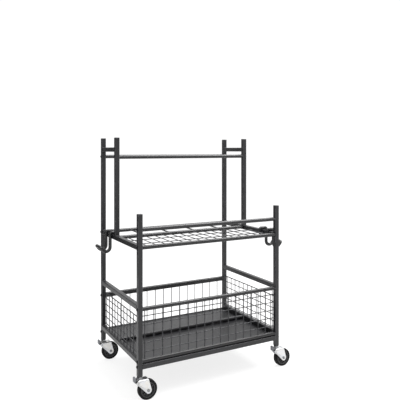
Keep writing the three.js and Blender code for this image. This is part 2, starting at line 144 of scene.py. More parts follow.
def charcoal_powder_coat(name, dark, light, edge_wear_and_highlight, least_rough, most_rough):
    """Polyester powder baked on steel: satin, a little cloudy, with a fine orange peel that
    breaks up highlights, and paler in patches on sharp corners, which is part wear and part a
    painted edge highlight. The peel of about 1 mm is drawn 5 mm wide so that it shows."""
    cloud_size = 70
    peel_size = 5
    edge_patch_size = 9
    peel_depth = 0.03
    material, tree, place = start_material(name)
    cloud = add(tree, "TexNoise", {"Vector": place, "Scale": 1 / cloud_size, "Detail": 4.0})
    peel = add(tree, "TexNoise", {"Vector": place, "Scale": 1 / peel_size, "Detail": 2.0})
    patches = add(tree, "TexNoise", {"Vector": place, "Scale": 1 / edge_patch_size, "Detail": 3.0})
    corners = add(tree, "Attribute", {}, attribute_name="sharp_edge_mark").outputs["Fac"]
    tone = add(tree, "MapRange", {"Value": cloud, "From Min": 0.36, "From Max": 0.64})
    coat = add(tree, "Mix", {0: tone, 6: dark, 7: light}, data_type="RGBA")
    gaps = add(tree, "MapRange", {"Value": patches, "From Min": 0.4, "From Max": 0.65})
    # Painted edge highlight: on sharp corners the coat turns, in patches, to the paler colour, which is
    # part wear and part painted highlight
    edge_patches = add(tree, "Math", {0: gaps, 1: corners}, operation="MULTIPLY")
    colour = add(tree, "Mix", {0: edge_patches, 6: coat, 7: edge_wear_and_highlight}, data_type="RGBA")
    rough = add(tree, "MapRange", {
        "Value": peel, "From Min": 0.3, "From Max": 0.7, "To Min": least_rough, "To Max": most_rough})
    bump = add(tree, "Bump", {"Height": peel, "Distance": peel_depth * mm, "Strength": 0.8})
    end_material(tree, {"Base Color": colour, "Roughness": rough, "IOR": 1.5, "Normal": bump})
    return material


def rounded_square(side, corner):
    """The outline of a square tube. A narrow band beside each corner keeps the flats evenly lit."""
    centre = Vector((side / 2 - corner, side / 2 - corner))
    points = []
    for quarter in range(4):
        turn = Matrix.Rotation(quarter * math.pi / 2, 2)
        angles = [step * math.pi / 2 / corner_steps for step in range(corner_steps + 1)]
        round_part = [centre + corner * Vector((math.cos(a), math.sin(a))) for a in angles]
        before = Vector((side / 2, centre.y - flat_band))
        after = Vector((centre.x - flat_band, side / 2))
        points += [turn @ point for point in (before, *round_part, after)]
    return points


def ring(axis, place, centre, outline):
    """An outline set in the plane across an axis, at a place along it."""
    first, second = (i for i in range(3) if i != axis)
    points = []
    for u, v in outline:
        point = Vector(centre)
        point[axis] = place
        point[first] += u
        point[second] += v
        points.append(point)
    return points


def skin(build, rings, loop=False):
    """Joins rings of points with faces. The ends are closed, or the last ring meets the first."""
    rows = [[build.verts.new(point) for point in points] for points in rings]
    count = len(rows[0])
    for low, high in zip(rows, rows[1:] + rows[:1] if loop else rows[1:]):
        for i in range(count):
            j = (i + 1) % count
            build.faces.new((low[i], low[j], high[j], high[i]))
    if not loop:
        build.faces.new(rows[0][::-1])
        build.faces.new(rows[-1])


def open_tube(build, axis, start, end, centre, outer, inner):
    """An open-ended tube, skinned up its outside and back down its bore."""
    stops = (start, start + end_band, end - end_band, end)
    out = [ring(axis, stop, centre, outer) for stop in stops]
    back = [ring(axis, stop, centre, inner) for stop in reversed(stops)]
    skin(build, out + back, loop=True)


def square_tube(build, axis, start, end, centre, side):
    """An open square tube along an axis."""
    open_tube(build, axis, start, end, centre, rounded_square(side, tube_corner),
              rounded_square(side - 2 * tube_wall, bore_corner))


def limits(node):
    """The lowest and highest corner of a node, in millimetres."""
    low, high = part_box(node)
    return low / mm, high / mm


def to_object(name, build, *materials):
    """Turns a drawing into an object in the scene."""
    mesh = bpy.data.meshes.new(name)
    build.to_mesh(mesh)
    build.free()
    for material in materials:
        mesh.materials.append(material)
    made = bpy.data.objects.new(name, mesh)
    bpy.context.scene.collection.objects.link(made)
    return made


def make_piece(name, build, material, body, nodes=()):
    """Turns a drawing in millimetres into a piece that rides on a body. Points on an edge that
    turns sharply get an edge mark, which the materials read as wear, and the powder coat also as a painted
    edge highlight."""
    bmesh.ops.recalc_face_normals(build, faces=build.faces)
    sharp_edge_mark = build.verts.layers.float.new("sharp_edge_mark")
    for vert in build.verts:
        vert[sharp_edge_mark] = float(max(edge.calc_face_angle(0) for edge in vert.link_edges) > sharp_edge_mark_turn)
    bmesh.ops.scale(build, vec=(mm,) * 3, verts=build.verts)
    piece = to_object(name, build, material)
    piece.data.shade_smooth()
    piece.data.set_sharp_from_angle(angle=sharp_turn)
    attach(piece, body)
    if nodes:
        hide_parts(*nodes)


def stand_in(node, build, material, suffix="finished", replaces_node=True):
    """A piece on a node's own body, which takes the node's place or goes beside what does."""
    body = frame["nodes"][node]["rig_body"]
    nodes = [node] if replaces_node else []
    make_piece(f"{node}_{suffix}", build, material, body, nodes)


# Satin charcoal polyester powder on the tube; its third, paler colour is part edge wear and part painted
# edge highlight
tube_coat = charcoal_powder_coat(
    "charcoal_powder_coat_on_tube", "#111113", "#19191c", "#444448", 0.32, 0.46)

ends = ("front", "middle", "back")
sides = ("left", "right")
side_rails = ("base_rail", "basket_side_rail", "shelf_side_rail", "top_side_rail")
square_nodes = [f"post_{end}_{side}" for end in ends for side in sides]
square_nodes += [f"{rail}_{side}" for rail in side_rails for side in sides]
square_nodes += ["base_rail_front", "base_rail_back"]

for node in square_nodes:
    low, high = limits(node)
    size = high - low
    axis = max(range(3), key=lambda i: size[i])
    build = bmesh.new()
    square_tube(build, axis, low[axis], high[axis], (low + high) / 2, min(size))
    stand_in(node, build, tube_coat)


# Weld beads
# The rails that run front to back are welded to the posts all round, and the middle posts to
# the rails that they stand on. The beads are rippled, and painted with the frame.

bead_radius = 1.9
bead_sink = 0.9
bead_step = 0.8
ripple_pitch = 2.4
ripple_depth = 0.16
bead_sides = 8


def even_steps(points, step):
    """Points at even steps round a closed outline."""
    spread = []
    for a, b in zip(points, points[1:] + points[:1]):
        count = max(1, round((b - a).length / step))
        spread += [a.lerp(b, i / count) for i in range(count)]
    return spread


def full_turn(count):
    """Angles at even steps round a circle."""
    return [2 * math.pi * i / count for i in range(count)]


def sweep(build, path, radii, sides_round, loop=False):
    """Sweeps a circle along a path, with one radius for each point."""
    last = len(path) - 1
    rings = []
    across = None
    for i, point in enumerate(path):
        before = path[i - 1] if i or loop else point
        after = path[(i + 1) % len(path)] if i < last or loop else point
        along = (after - before).normalized()
        if across is None:
            across = along.orthogonal()
        across = (across - along * across.dot(along)).normalized()
        third = along.cross(across)
        rings.append([point + radii[i] * (math.cos(a) * across + math.sin(a) * third)
                      for a in full_turn(sides_round)])
    skin(build, rings, loop)


def weld_bead(build, axis, place, centre, side):
    """A rippled bead round the end of a square tube that butts on another."""
    outline = rounded_square(side - 2 * bead_sink, tube_corner)
    path = even_steps(ring(axis, place, centre, outline), bead_step)
    radii = []
    for i in range(len(path)):
        ripple = abs(math.sin(math.pi * i * bead_step / ripple_pitch))
        radii.append(bead_radius * (1 - ripple_depth * (1 - ripple)))
    sweep(build, path, radii, bead_sides, loop=True)


build = bmesh.new()
for rail in side_rails:
    for side in sides:
        low, high = limits(f"{rail}_{side}")
        for place in (low.y, high.y):
            weld_bead(build, 1, place, (low + high) / 2, high.x - low.x)
for side in sides:
    low, high = limits(f"post_middle_{side}")
    weld_bead(build, 2, low.z, (low + high) / 2, high.x - low.x)
make_piece("frame_weld_beads", build, tube_coat, "frame")


# Post caps
# Push-in caps of black polyethylene, moulded with a rounded top and a hollow ribbed plug that
# grips the bore of the tube.

cap_width_and_rise_shares = ((1.0, 0.0), (1.0, 0.55), (0.975, 0.8), (0.9, 0.95), (0.6, 1.0))
plug_gap = 0.3
plug_wall = 1.6
plug_rib = 0.25
plug_ribs = 3
rib_slope = 1


def moulded_plastic(name, dark, light, least_rough, most_rough):
    """Moulded polymer: a low sheen over the grain of a spark-eroded mould, faint flow marks,
    and paler scuffs on corners. The grain of 0.3 mm is drawn 1.5 mm wide so that it shows."""
    grain_size = 1.5
    flow_size = 12
    grain_depth = 0.05
    material, tree, place = start_material(name)
    grain = add(tree, "TexNoise", {"Vector": place, "Scale": 1 / grain_size, "Detail": 3.0})
    flow = add(tree, "TexNoise", {
        "Vector": place, "Scale": 1 / flow_size, "Detail": 2.0, "Distortion": 1.5})
    corners = add(tree, "Attribute", {}, attribute_name="sharp_edge_mark").outputs["Fac"]
    scuff = add(tree, "Math", {0: flow, 1: corners}, operation="MULTIPLY")
    tone = add(tree, "Math", {0: flow, 1: scuff}, operation="ADD")
    colour = add(tree, "Mix", {0: tone, 6: dark, 7: light}, data_type="RGBA")
    rough = add(tree, "MapRange", {
        "Value": grain, "From Min": 0.3, "From Max": 0.7, "To Min": least_rough, "To Max": most_rough})
    bump = add(tree, "Bump", {"Height": grain, "Distance": grain_depth * mm, "Strength": 0.7})
    end_material(tree, {"Base Color": colour, "Roughness": rough, "IOR": 1.49, "Normal": bump})
    return material


# Black low-density polyethylene with a satin mould grain
cap_plastic = moulded_plastic("black_polyethylene", "#151517", "#242427", 0.42, 0.58)

for end in ends:
    for side in sides:
        node = f"post_cap_{end}_{side}"
        low, high = limits(node)
        top = limits(f"post_{end}_{side}")[1].z
        centre = (low + high) / 2
        width = high.x - low.x
        plug = width - 2 * tube_wall - 2 * plug_gap
        bore = plug - 2 * plug_wall
        plug_shape = [(top, bore), (low.z, bore), (low.z, plug)]
        for rib in reversed(range(plug_ribs)):
            place = top + (low.z - top) * (rib + 0.5) / plug_ribs
            plug_shape += [(place - rib_slope, plug), (place, plug + plug_rib), (place + rib_slope, plug)]
        plug_shape.append((top, plug))
        rings = [ring(2, z, centre, rounded_square(across, bore_corner)) for z, across in plug_shape]
        rings += [ring(2, top + rise * (high.z - top), centre, rounded_square(width * share, tube_corner))
                  for share, rise in cap_width_and_rise_shares]
        build = bmesh.new()
        skin(build, rings)
        stand_in(node, build, cap_plastic)


# Round rails
# Steel tube of 16 mm, cut square and bolted between the posts through their outer faces: the
# guard rail of the shelf and the two top rails. The bar over the basket floor is welded in.

rail_radius = 8
rail_wall = 1.2
rail_sides = 32


def circle(radius, count):
    """The outline of a round section."""
    return [Vector((radius * math.cos(a), radius * math.sin(a))) for a in full_turn(count)]


def round_tube(build, start, end, centre):
    """An open round tube along X."""
    open_tube(build, 0, start, end, centre, circle(rail_radius, rail_sides),
              circle(rail_radius - rail_wall, rail_sides))


for node in ("guard_rail", "top_rail_front", "top_rail_back", "basket_floor_crossbar"):
    low, high = limits(node)
    build = bmesh.new()
    round_tube(build, low.x, high.x, (low + high) / 2)
    stand_in(node, build, tube_coat)


# Basket panels
# Round wire of 3 mm, resistance welded between bars: round tubes at the front, a square tube over
# the low back, and a border wire of 4 mm on each side net, which stands on the base rail.

wire_radius = 1.5
border_radius = 2
coat_build = 0.3
wire_sides = 12
wire_bite = 0.6
toe_length = 2.2
toe_flare = 1.55
nugget_radius = 1.75

# The same powder on wire, where it builds up thicker and glossier. The build of 0.15 mm is drawn
# twice as thick, so that the thin wires hold their own against the light behind them.
# Its third, paler colour is part edge wear and part painted edge highlight on the wire
wire_paint = charcoal_powder_coat(
    "charcoal_powder_coat_on_wire", "#0f0f11", "#161618", "#38383c", 0.27, 0.4)


def middle(node, axis):
    """The place of a node's middle along an axis."""
    low, high = limits(node)
    return (low[axis] + high[axis]) / 2


post_low, post_high = limits("post_front_left")
tube_side = post_high.x - post_low.x
left_x = middle("post_front_left", 0)
right_x = middle("post_back_right", 0)
front_y = middle("post_front_left", 1)
middle_y = middle("post_middle_left", 1)
back_y = middle("post_back_right", 1)
mid_x = (left_x + right_x) / 2
mid_y = (front_y + back_y) / 2
rack_width = right_x - left_x
rack_depth = back_y - front_y
shelf_depth = middle_y - front_y
clear_width = rack_width - tube_side
clear_depth = rack_depth - tube_side


def wire(build, start, end, radius):
    """A straight wire whose ends swell into their welds."""
    along = (end - start).normalized()
    stops = [(0, toe_flare), (toe_length / 2, (1 + toe_flare) / 2), (toe_length, 1)]
    path = [start + along * reach for reach, _ in stops]
    path += [end - along * reach for reach, _ in reversed(stops)]
    swell = [(radius + coat_build) * share for _, share in stops]
    sweep(build, path, swell + swell[::-1], wire_sides)


def round_bar(build, half, z):
    round_tube(build, -half, half, Vector((0, 0, z)))


def square_bar(build, half, z):
    square_tube(build, 0, -half, half, Vector((0, 0, z)), tube_side)


def border_wire(build, half, z):
    wire(build, Vector((-half, 0, z)), Vector((half, 0, z)), border_radius)


grips = {round_bar: rail_radius - wire_bite, square_bar: tube_side / 2 - wire_bite, border_wire: 0, None: 0}


def spaced(count, pitch):
    """Places of equally spaced wires, centred on zero."""
    return [(i - (count - 1) / 2) * pitch for i in range(count)]


def stepped(count, lowest, highest):
    """Heights of the cross wires of a panel, at even steps."""
    return [lowest + (highest - lowest) * i / (count - 1) for i in range(count)]


def welded_panel(node, place, span, height, uprights, crossings, top_bar, foot_bar):
    """A panel in the XZ plane that rises from zero, with its cross wires at +Y and a squeezed
    nugget at each weld. The place is the matrix that sets it into the rack."""
    build = bmesh.new()
    for bar, z in ((foot_bar, 0), (top_bar, height)):
        if bar:
            bar(build, span / 2, z)
    behind = 2 * wire_radius - wire_bite
    for x in uprights:
        wire(build, Vector((x, 0, grips[foot_bar])), Vector((x, 0, height - grips[top_bar])), wire_radius)
    for z in crossings:
        wire(build, Vector((-span / 2, behind, z)), Vector((span / 2, behind, z)), wire_radius)
        for x in uprights:
            bmesh.ops.create_icosphere(build, subdivisions=2, radius=nugget_radius,
                                       matrix=Matrix.Translation(Vector((x, behind / 2, z))))
    bmesh.ops.transform(build, matrix=place, verts=build.verts)
    stand_in(node, build, wire_paint)


def standing(x, y, z, degrees):
    """Sets a panel on its foot, turned about the vertical."""
    return Matrix.Translation((x, y, z)) @ Matrix.Rotation(math.radians(degrees), 4, "Z")


front_uprights = 17
front_inset = 21
front_crossings = 5
front_lift = 33.1
front_drop = 27.6
foot_z = middle("basket_floor_crossbar", 2)
front_top_z = limits("basket_front_panel")[1].z - rail_radius
front_height = front_top_z - foot_z
front_pitch = (rack_width - 2 * front_inset) / (front_uprights - 1)
welded_panel(
    "basket_front_panel", standing(mid_x, front_y, foot_z, 0), clear_width, front_height,
    spaced(front_uprights, front_pitch), stepped(front_crossings, front_lift, front_height - front_drop),
    round_bar, round_bar)

back_uprights = 14
back_low, back_high = limits("basket_back_panel")
back_foot_z = back_low.z + border_radius
back_top_z = back_high.z - tube_side / 2
welded_panel(
    "basket_back_panel", standing(mid_x, back_y, back_foot_z, 180), clear_width, back_top_z - back_foot_z,
    spaced(back_uprights, rack_width / (back_uprights + 1)), [], square_bar, border_wire)

side_uprights = 11
side_inset = 4
side_crossings = 5
side_lift = 11.2
side_drop = 25.2
for side, x, turn in (("left", left_x + side_inset, -90), ("right", right_x - side_inset, 90)):
    low, high = limits(f"basket_{side}_panel")
    side_height = high.z - border_radius - low.z
    welded_panel(
        f"basket_{side}_panel", standing(x, mid_y, low.z, turn), clear_depth, side_height,
        spaced(side_uprights, rack_depth / (side_uprights + 1)),
        stepped(side_crossings, side_lift, side_height - side_drop), border_wire, None)


# Shelf deck
# A grid of the same wire that lies flat between two round tubes, its two cross wires underneath.
# It is welded up in a jig and bolted between the posts through the ends of its tubes.

deck_wires = 15
deck_cross = 2
shelf_z = middle("shelf_side_rail_left", 2)
lying = Matrix.Translation((mid_x, front_y, shelf_z)) @ Matrix.Rotation(math.radians(-90), 4, "X")
deck_pitch = shelf_depth / (deck_cross + 1)
welded_panel(
    "shelf_deck", lying, clear_width, shelf_depth, spaced(deck_wires, rack_width / (deck_wires + 1)),
    stepped(deck_cross, deck_pitch, shelf_depth - deck_pitch), round_bar, round_bar)


# Divider rack
# A round tube between the back posts, with four rods of 6 mm that reach forward to the shelf and
# keep the long handles apart.

rod_radius = 3
rod_count = 4
rod_sides = 16
rod_end_share = 0.02

build = bmesh.new()
round_tube(build, mid_x - clear_width / 2, mid_x + clear_width / 2, Vector((0, back_y, shelf_z)))
for place in spaced(rod_count, rack_width / (rod_count + 1)):
    start = Vector((mid_x + place, middle_y + rail_radius, shelf_z))
    end = Vector((mid_x + place, back_y - rail_radius + wire_bite, shelf_z))
    stops = [start, start.lerp(end, rod_end_share), end.lerp(start, rod_end_share), end]
    sweep(build, stops, [rod_radius] * 3 + [rod_radius * toe_flare], rod_sides)
stand_in("tool_divider_rack", build, wire_paint)


# Basket floor
# A sheet of 1.2 mm steel, notched round the posts, that lies on the front and back base rails
# under the side ones. Between the rails it waves a little, as thin sheet does.

cell = 16
wave_size = 130
wave_height = 0.5
fade_cells = 3
notch_gap = 0.3

low, high = limits("basket_floor_sheet")
notch_x = clear_width / 2 - notch_gap
notch_y = clear_depth / 2 - notch_gap


def lines(half, notch):
    """Even grid lines over a half width, with one at each notch."""
    count = 2 * round(notch / cell)
    inner = [-notch + 2 * notch * i / count for i in range(count + 1)]
    return [-half, *inner, half]


build = bmesh.new()
across_lines = lines((high.x - low.x) / 2, notch_x)
along_lines = lines((high.y - low.y) / 2, notch_y)
last_x = len(across_lines) - 1
last_y = len(along_lines) - 1
tops = {}
bottoms = {}
for i, x in enumerate(across_lines):
    for j, y in enumerate(along_lines):
        if i in (0, last_x) and j in (0, last_y):
            continue
        fade = min(1, (notch_x - abs(x)) / cell / fade_cells, (notch_y - abs(y)) / cell / fade_cells)
        wave = noise.noise(Vector((x, y, 0)) / wave_size) * wave_height * max(0, fade)
        point = Vector((mid_x + x, mid_y + y, high.z + wave))
        tops[i, j] = build.verts.new(point)
        bottoms[i, j] = build.verts.new(point - Vector((0, 0, high.z - low.z)))
edge_uses = {}
for i in range(last_x):
    for j in range(last_y):
        keys = [(i, j), (i + 1, j), (i + 1, j + 1), (i, j + 1)]
        if all(key in tops for key in keys):
            build.faces.new([tops[key] for key in keys])
            build.faces.new([bottoms[key] for key in reversed(keys)])
            for a, b in zip(keys, keys[1:] + keys[:1]):
                edge_uses.setdefault(frozenset((a, b)), []).append((a, b))
for uses in edge_uses.values():
    if len(uses) == 1:
        a, b = uses[0]
        build.faces.new((tops[b], tops[a], bottoms[a], bottoms[b]))
stand_in("basket_floor_sheet", build, tube_coat)


# Frame bolts
# Black button-head screws with a hexagon socket and a washer. They pass through the outer faces
# of the posts into threaded plugs in the ends of the cross rails.

head_radius = 5.3
head_height = 3.2
dome_radius_and_rise_shares = ((1.0, 0.0), (1.0, 0.25), (0.93, 0.55), (0.78, 0.82), (0.6, 0.97))
socket_radius = 2.4
socket_depth = 1.9
washer_radius = 6.4
washer_height = 0.8
hexagon = 6
turned_steps = 24


def section(radius, corners=0):
    """A round outline, or a polygon with that many corners, with as many points either way."""
    outline = []
    for angle in full_turn(turned_steps):
        reach = radius
        if corners:
            part = 2 * math.pi / corners
            reach = radius * math.cos(part / 2) / math.cos(angle % part - part / 2)
        outline.append(Vector((reach * math.cos(angle), reach * math.sin(angle))))
    return outline


def turned(build, axis, centre, profile):
    """A turned piece along an axis. The profile has radius, place along the axis and, where it
    isn't round, its number of corners."""
    skin(build, [ring(axis, centre[axis] + place, centre, section(radius, *corners))
                 for radius, place, *corners in profile])


def screw_head(build, place, outward):
    """A button head that stands off a post along X."""
    top = washer_height + head_height
    profile = [(washer_radius, 0), (washer_radius, washer_height)]
    profile += [(head_radius * share, washer_height + head_height * rise)
                for share, rise in dome_radius_and_rise_shares]
    profile += [(socket_radius, top, hexagon), (socket_radius, top - socket_depth, hexagon)]
    turned(build, 0, place, [(radius, outward * height, *corners) for radius, height, *corners in profile])


def black_oxide_steel(name):
    """Screw steel with a black oxide finish: dark, slightly blue, with an oily sheen, and
    bright where a driver has scraped the edges."""
    blotch_size = 3
    material, tree, place = start_material(name)
    blotch = add(tree, "TexNoise", {"Vector": place, "Scale": 1 / blotch_size, "Detail": 3.0})
    corners = add(tree, "Attribute", {}, attribute_name="sharp_edge_mark").outputs["Fac"]
    edge_patches = add(tree, "Math", {0: blotch, 1: corners}, operation="MULTIPLY")
    colour = add(tree, "Mix", {0: edge_patches, 6: "#1d1d20", 7: "#4c4c50"}, data_type="RGBA")
    rough = add(tree, "MapRange", {"Value": blotch, "To Min": 0.25, "To Max": 0.5})
    end_material(tree, {"Base Color": colour, "Roughness": rough, "Metallic": 0.8})
    return material


base_z = middle("base_rail_front", 2)
guard_z = middle("guard_rail", 2)
top_z = middle("top_rail_front", 2)
bolted = [(front_y, z) for z in (base_z, foot_z, front_top_z, shelf_z, guard_z)]
bolted += [(middle_y, z) for z in (shelf_z, top_z)]
bolted += [(back_y, z) for z in (base_z, back_top_z, shelf_z, top_z)]
build = bmesh.new()
for y, z in bolted:
    for x, outward in ((left_x - tube_side / 2, -1), (right_x + tube_side / 2, 1)):
        screw_head(build, Vector((x, y, z)), outward)
make_piece("frame_bolts", build, black_oxide_steel("black_oxide_steel"), "frame")


# Side hooks
# Steel rod bent into a hairpin that hangs over a side rail of the shelf, and dipped in soft PVC
# of a dark satin finish, so that it is 14 mm thick and its ends are round.

hook_radius = 7
hook_sides = 20
hook_spread = 54
hook_side_gap = 0.5
hook_seat = 0.3
hook_inner_drop = 12
hook_drop = 62
hook_reach = 43
hook_curl = 18
hook_arm_angle = math.radians(50)
hook_bend = 8
bend_steps = 10
round_end_steps = 5


def bent(points, radii):
    """A path through points whose inner corners are rounded by the given radii."""
    path = [points[0]]
    for before, corner, after, radius in zip(points, points[1:], points[2:], radii):
        inward = (before - corner).normalized()
        outward = (after - corner).normalized()
        half = inward.angle(outward) / 2
        centre = corner + (inward + outward).normalized() * radius / math.sin(half)
        start = corner + inward * radius / math.tan(half) - centre
        finish = corner + outward * radius / math.tan(half) - centre
        axis = start.cross(finish).normalized()
        turns = [start.angle(finish) * i / bend_steps for i in range(bend_steps + 1)]
        path += [centre + Matrix.Rotation(turn, 3, axis) @ start for turn in turns]
    return path + [points[-1]]


def round_ends(path, radius):
    """Adds a half ball to both ends of a path, and gives the radius at each point."""
    angles = [math.pi / 2 * i / round_end_steps for i in range(1, round_end_steps)]
    first = (path[1] - path[0]).normalized()
    last = (path[-1] - path[-2]).normalized()
    head = [path[0] + first * radius * (1 - math.sin(a)) for a in angles]
    tail = [path[-1] - last * radius * (1 - math.sin(a)) for a in angles]
    shrink = [radius * math.cos(a) for a in angles]
    inner = [path[0] + first * radius, *path[1:-1], path[-1] - last * radius]
    radii = shrink[::-1] + [radius] * len(inner) + shrink
    return head[::-1] + inner + tail, radii


def dipped_vinyl(name):
    """Soft PVC dipped over steel: smooth, dark and satin, with slow sags left by the dip and
    duller patches where it has been handled."""
    sag_size = 14
    handled_size = 40
    sag_depth = 0.12
    material, tree, place = start_material(name)
    sag = add(tree, "TexNoise", {"Vector": place, "Scale": 1 / sag_size, "Detail": 1.0})
    handled = add(tree, "TexNoise", {"Vector": place, "Scale": 1 / handled_size, "Detail": 4.0})
    colour = add(tree, "Mix", {0: handled, 6: "#0f0f11", 7: "#18181a"}, data_type="RGBA")
    rough = add(tree, "MapRange", {
        "Value": handled, "From Min": 0.35, "From Max": 0.65, "To Min": 0.26, "To Max": 0.42})
    bump = add(tree, "Bump", {"Height": sag, "Distance": sag_depth * mm, "Strength": 0.8})
    end_material(tree, {"Base Color": colour, "Roughness": rough, "IOR": 1.53, "Normal": bump})
    return material


hook_vinyl = dipped_vinyl("dark_pvc_dip")

leg_x = tube_side / 2 + hook_side_gap + hook_radius
over_z = tube_side / 2 + hook_seat + hook_radius
elbow_z = hook_curl - hook_drop - hook_curl / math.tan((math.pi / 2 - hook_arm_angle) / 2)
tip_z = elbow_z + hook_reach * math.tan(hook_arm_angle)
hook_outline = [(-leg_x, -hook_inner_drop), (-leg_x, over_z), (leg_x, over_z), (leg_x, elbow_z),
                (leg_x + hook_reach, tip_z)]
hook_bends = [hook_bend, hook_bend, hook_curl, hook_bend]
for side, rail_x, outward in (("left", left_x, -1), ("right", right_x, 1)):
    centre = Vector((rail_x, middle(f"side_hook_{side}", 1), shelf_z))
    leg = [centre + Vector((outward * x, -hook_spread / 2, z)) for x, z in hook_outline]
    other = [point + Vector((0, hook_spread, 0)) for point in leg]
    path, radii = round_ends(bent(leg + other[::-1], hook_bends + hook_bends[::-1]), hook_radius)
    build = bmesh.new()
    sweep(build, path, radii, hook_sides)
    stand_in(f"side_hook_{side}", build, hook_vinyl)


# Caster sockets
# A plug of black polyethylene driven into the foot of each corner post. Its flange shows as a
# dark ring under the post, and its bore grips the stem of the caster.

flange_radius = 10.8
flange_edge = 0.8
sleeve_gap = 0.3
bore_radius = 5.3
upright = 2
origin = Vector()


def on_each_caster(part, build, material, suffix="finished", replaces_node=True):
    """Places copies of one drawing, made round the foot of the swivel axis, on all four casters."""
    for end in ("front", "back"):
        for side in sides:
            caster = f"caster_{end}_{side}"
            foot = (middle(f"{caster}_stem", 0), middle(f"{caster}_stem", 1), 0)
            copy = build.copy()
            bmesh.ops.translate(copy, vec=foot, verts=copy.verts)
            stand_in(f"{caster}_{part}", copy, material, suffix, replaces_node)
    build.free()


post_foot = post_low.z
socket_low, socket_high = limits("caster_front_left_socket")
flange_under = socket_low.z
sleeve = rounded_square(tube_side - 2 * tube_wall - 2 * sleeve_gap, bore_corner)
bore = section(bore_radius)
flange = section(flange_radius)
flange_rim = section(flange_radius - flange_edge)
socket_shape = [
    (flange_under, flange_rim), (flange_under + flange_edge, flange),
    (post_foot - flange_edge, flange), (post_foot, flange_rim),
    (post_foot, sleeve), (socket_high.z, sleeve), (socket_high.z, bore), (flange_under, bore),
]
build = bmesh.new()
skin(build, [ring(upright, place, origin, outline) for place, outline in socket_shape], loop=True)
on_each_caster("socket", build, cap_plastic)


# Caster stems
# Turned steel, zinc plated: a hexagon shoulder under the socket, a plain stem inside it, the
# pressed upper race, and a kingpin that is riveted over under the crown of the fork.

crown_under = 79.7
fork_sheet = 2.5
swivel_gap = 0.3
race_radius = 14
race_height = 3.5
race_dish = 10.5
race_rise = 2.4
race_lip = 1.0
shoulder_radius = 9.5
shoulder_flare = 1.5
kingpin_radius = 4.5
rivet_radius = 7
rivet_height = 2
rivet_radius_and_drop_shares = ((0.55, 1.0), (0.88, 0.8), (1.0, 0.35), (1.0, 0.0))
stem_radius = 5
stem_chamfer = 1


def zinc_plate(name, blue, straw, edge, least_rough, most_rough):
    """Electroplated zinc with a clear passivate over steel: slightly blue here and straw there,
    with soft rolling marks and duller, greyer cut edges. The marks of 0.2 mm are drawn 1.6 mm
    wide so that they show."""
    tint_size = 18
    mark_size = 1.6
    mark_depth = 0.02
    mark_stretch = (1, 1, 0.15)
    material, tree, place = start_material(name)
    tint = add(tree, "TexNoise", {"Vector": place, "Scale": 1 / tint_size, "Detail": 3.0})
    drawn = add(tree, "VectorMath", {0: place, 1: mark_stretch}, operation="MULTIPLY")
    marks = add(tree, "TexNoise", {"Vector": drawn, "Scale": 1 / mark_size, "Detail": 2.0})
    corners = add(tree, "Attribute", {}, attribute_name="sharp_edge_mark").outputs["Fac"]
    hue = add(tree, "MapRange", {"Value": tint, "From Min": 0.35, "From Max": 0.65})
    plate = add(tree, "Mix", {0: hue, 6: blue, 7: straw}, data_type="RGBA")
    cut = add(tree, "Math", {0: corners, 1: 0.7}, operation="MULTIPLY")
    colour = add(tree, "Mix", {0: cut, 6: plate, 7: edge}, data_type="RGBA")
    rough = add(tree, "MapRange", {
        "Value": marks, "From Min": 0.3, "From Max": 0.7, "To Min": least_rough, "To Max": most_rough})
    bump = add(tree, "Bump", {"Height": marks, "Distance": mark_depth * mm, "Strength": 0.5})
    end_material(tree, {"Base Color": colour, "Roughness": rough, "Metallic": 1.0, "Normal": bump})
    return material


# Bright zinc on the pressed and turned parts that show
zinc = zinc_plate("bright_zinc_plate", "#d6d8dc", "#dad8d4", "#94969a", 0.3, 0.46)

crown_top = crown_under + fork_sheet
race_under = crown_top + swivel_gap
half_lip = race_lip / 2
lip_middle = race_under + race_rise + half_lip
shoulder_under = race_under + race_height
rivet_top = crown_under - swivel_gap
stem_top = limits("caster_front_left_stem")[1].z
stem_profile = [(rivet_radius * share, rivet_top - rivet_height * drop)
                for share, drop in rivet_radius_and_drop_shares]
stem_profile += [
    (kingpin_radius, rivet_top), (kingpin_radius, race_under), (race_dish, race_under),
    (race_radius - half_lip, lip_middle - half_lip), (race_radius, lip_middle),
    (race_radius - half_lip, lip_middle + half_lip), (shoulder_radius + shoulder_flare, shoulder_under),
    (shoulder_radius, shoulder_under, hexagon), (shoulder_radius, flange_under, hexagon),
    (stem_radius, flange_under), (stem_radius, stem_top - stem_chamfer),
    (stem_radius - stem_chamfer, stem_top),
]
build = bmesh.new()
turned(build, upright, origin, stem_profile)
on_each_caster("stem", build, zinc)

# A ring of black plastic stands between the race and the crown, as painted shade in the gap under the
# race's lip
painted_shade_ring_radius = 13.5
painted_shade_ring_edge = 0.3
painted_shade_ring_profile = [
    (kingpin_radius, race_under), (painted_shade_ring_radius - painted_shade_ring_edge, race_under),
    (painted_shade_ring_radius, race_under + painted_shade_ring_edge), (painted_shade_ring_radius, lip_middle), (kingpin_radius, lip_middle),
]
# The black ring is painted shade: it darkens the gap under the race
build = bmesh.new()
turned(build, upright, origin, painted_shade_ring_profile)
on_each_caster("stem", build, cap_plastic, "painted_shade_ring", replaces_node=False)


# Caster forks
# One blank of 2.5 mm steel, pierced and pressed: a crown round the kingpin, with two legs bent
# down at its sides that taper to the axle. Bright zinc plate over rounded edges.

